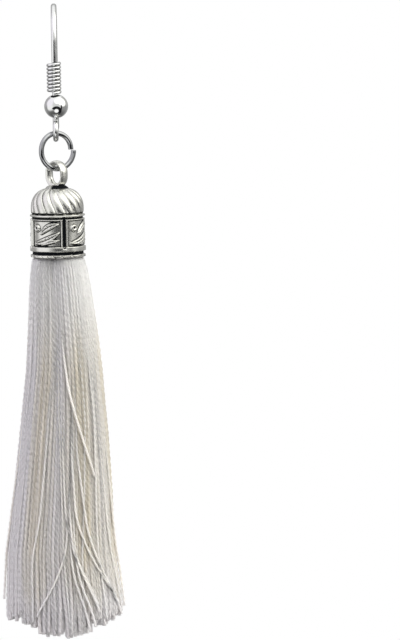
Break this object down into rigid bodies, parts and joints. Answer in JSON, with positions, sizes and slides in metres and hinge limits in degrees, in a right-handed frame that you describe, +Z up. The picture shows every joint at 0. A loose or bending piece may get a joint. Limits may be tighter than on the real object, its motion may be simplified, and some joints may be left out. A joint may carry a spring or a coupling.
{
  "type": "tassel earring",
  "caption": "Drop earring: fish-hook ear wire with coil and ball, open jump ring, fluted and panelled metal cap, and a long white thread tassel.",
  "frame": {"origin": "underside of the ear wire's arch, at its top, where the wire hangs in the earlobe", "axes": "+Z up, -Y towards the viewer of the worn earring's front, +Y towards the ear and the wire's tail, +X to the viewer's right"},
  "size_m": [0.0145, 0.0184, 0.0786],
  "materials": {
    "bright_wire": "bright polished plated wire",
    "bright_ball": "mirror polished plated ball",
    "dark_wire": "polished plated wire, greyer than the hook",
    "antiqued_cast": "cast silver tone, polished high spots, blackened recesses",
    "thread": "twisted two-ply rayon thread with a silky sheen"
  },
  "bodies": {
    "ear_wire": {"ear_hook": "bright_wire", "hook_coil": "bright_wire", "hook_ball": "bright_ball"},
    "ring": {"jump_ring": "dark_wire"},
    "drop": {"tassel_cap": "antiqued_cast", "tassel": "thread"}
  },
  "joints": [
    {"name": "ring_swing", "type": "hinge", "parent": "ear_wire", "child": "ring", "pos_m": [0, -0.0042, -0.01528], "axis": [0.866, 0.5, 0], "range_deg": [-90, 60]},
    {"name": "drop_sway", "type": "hinge", "parent": "ring", "child": "drop", "pos_m": [0, -0.0042, -0.01874], "axis": [0.7071, -0.7071, 0], "range_deg": [-40, 40]}
  ]
}
